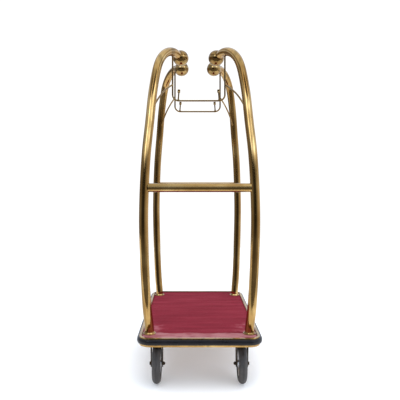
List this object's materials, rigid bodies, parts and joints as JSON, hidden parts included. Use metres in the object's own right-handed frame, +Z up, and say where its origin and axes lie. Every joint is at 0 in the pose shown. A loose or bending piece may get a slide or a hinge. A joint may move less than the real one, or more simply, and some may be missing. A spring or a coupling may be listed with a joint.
{
  "type": "hotel luggage cart",
  "caption": "Tall hotel luggage cart: curved brass posts with ball ends, push bars, garment hanger frames, carpeted deck, rubber bumper and casters.",
  "frame": {"origin": "on the floor under the middle of the cart", "axes": "+Z up, the cart's length along Y with the end nearest the viewer at -Y, width along X"},
  "size_m": [0.668, 1.148, 1.8857],
  "materials": {
    "brass": "polished",
    "bumper": "satin black",
    "tyre": "matt dark grey",
    "carpet": "dark red cut pile",
    "plywood": "sealed plywood",
    "steel": "zinc plated",
    "dark_metal": "dark bronze"
  },
  "bodies": {
    "chassis": {"deck_board": "plywood", "carpet": "carpet", "edge_channel": "brass", "bumper": "bumper", "cross_member_front_outer": "steel", "cross_member_front_inner": "steel", "push_bar_front": "brass", "hanger_frame_front": "brass", "cross_member_rear_outer": "steel", "cross_member_rear_inner": "steel", "push_bar_rear": "brass", "hanger_frame_rear": "brass", "post_front_left": "brass", "finial_front_left": "brass", "post_flange_front_left": "brass", "brace_front_left": "brass", "garment_peg_front_left": "brass", "post_anchor_front_left": "steel", "axle_bolt_front_left": "steel", "axle_nut_front_left": "steel", "rigid_fork_front_left": "dark_metal", "post_front_right": "brass", "finial_front_right": "brass", "post_flange_front_right": "brass", "brace_front_right": "brass", "garment_peg_front_right": "brass", "post_anchor_front_right": "steel", "axle_bolt_front_right": "steel", "axle_nut_front_right": "steel", "rigid_fork_front_right": "dark_metal", "post_rear_left": "brass", "finial_rear_left": "brass", "post_flange_rear_left": "brass", "brace_rear_left": "brass", "garment_peg_rear_left": "brass", "post_anchor_rear_left": "steel", "caster_plate_rear_left": "dark_metal", "post_rear_right": "brass", "finial_rear_right": "brass", "post_flange_rear_right": "brass", "brace_rear_right": "brass", "garment_peg_rear_right": "brass", "post_anchor_rear_right": "steel", "caster_plate_rear_right": "dark_metal"},
    "wheel_front_left": {"tyre_front_left": "tyre", "wheel_centre_front_left": "steel"},
    "wheel_front_right": {"tyre_front_right": "tyre", "wheel_centre_front_right": "steel"},
    "wheel_rear_left": {"tyre_rear_left": "tyre", "wheel_centre_rear_left": "steel"},
    "wheel_rear_right": {"tyre_rear_right": "tyre", "wheel_centre_rear_right": "steel"},
    "swivel_rear_left": {"swivel_fork_rear_left": "dark_metal", "axle_bolt_rear_left": "steel", "axle_nut_rear_left": "steel"},
    "swivel_rear_right": {"swivel_fork_rear_right": "dark_metal", "axle_bolt_rear_right": "steel", "axle_nut_rear_right": "steel"}
  },
  "joints": [
    {"name": "swivel_rear_left", "type": "hinge", "parent": "chassis", "child": "swivel_rear_left", "pos_m": [-0.2, 0.425, 0.2], "axis": [0, 0, 1], "continuous": true},
    {"name": "swivel_rear_right", "type": "hinge", "parent": "chassis", "child": "swivel_rear_right", "pos_m": [0.2, 0.425, 0.2], "axis": [0, 0, 1], "continuous": true},
    {"name": "roll_front_left", "type": "hinge", "parent": "chassis", "child": "wheel_front_left", "pos_m": [-0.231, -0.442, 0.105], "axis": [1, 0, 0], "continuous": true},
    {"name": "roll_front_right", "type": "hinge", "parent": "chassis", "child": "wheel_front_right", "pos_m": [0.231, -0.442, 0.105], "axis": [1, 0, 0], "continuous": true},
    {"name": "roll_rear_left", "type": "hinge", "parent": "swivel_rear_left", "child": "wheel_rear_left", "pos_m": [-0.2, 0.46, 0.105], "axis": [1, 0, 0], "continuous": true},
    {"name": "roll_rear_right", "type": "hinge", "parent": "swivel_rear_right", "child": "wheel_rear_right", "pos_m": [0.2, 0.46, 0.105], "axis": [1, 0, 0], "continuous": true}
  ]
}
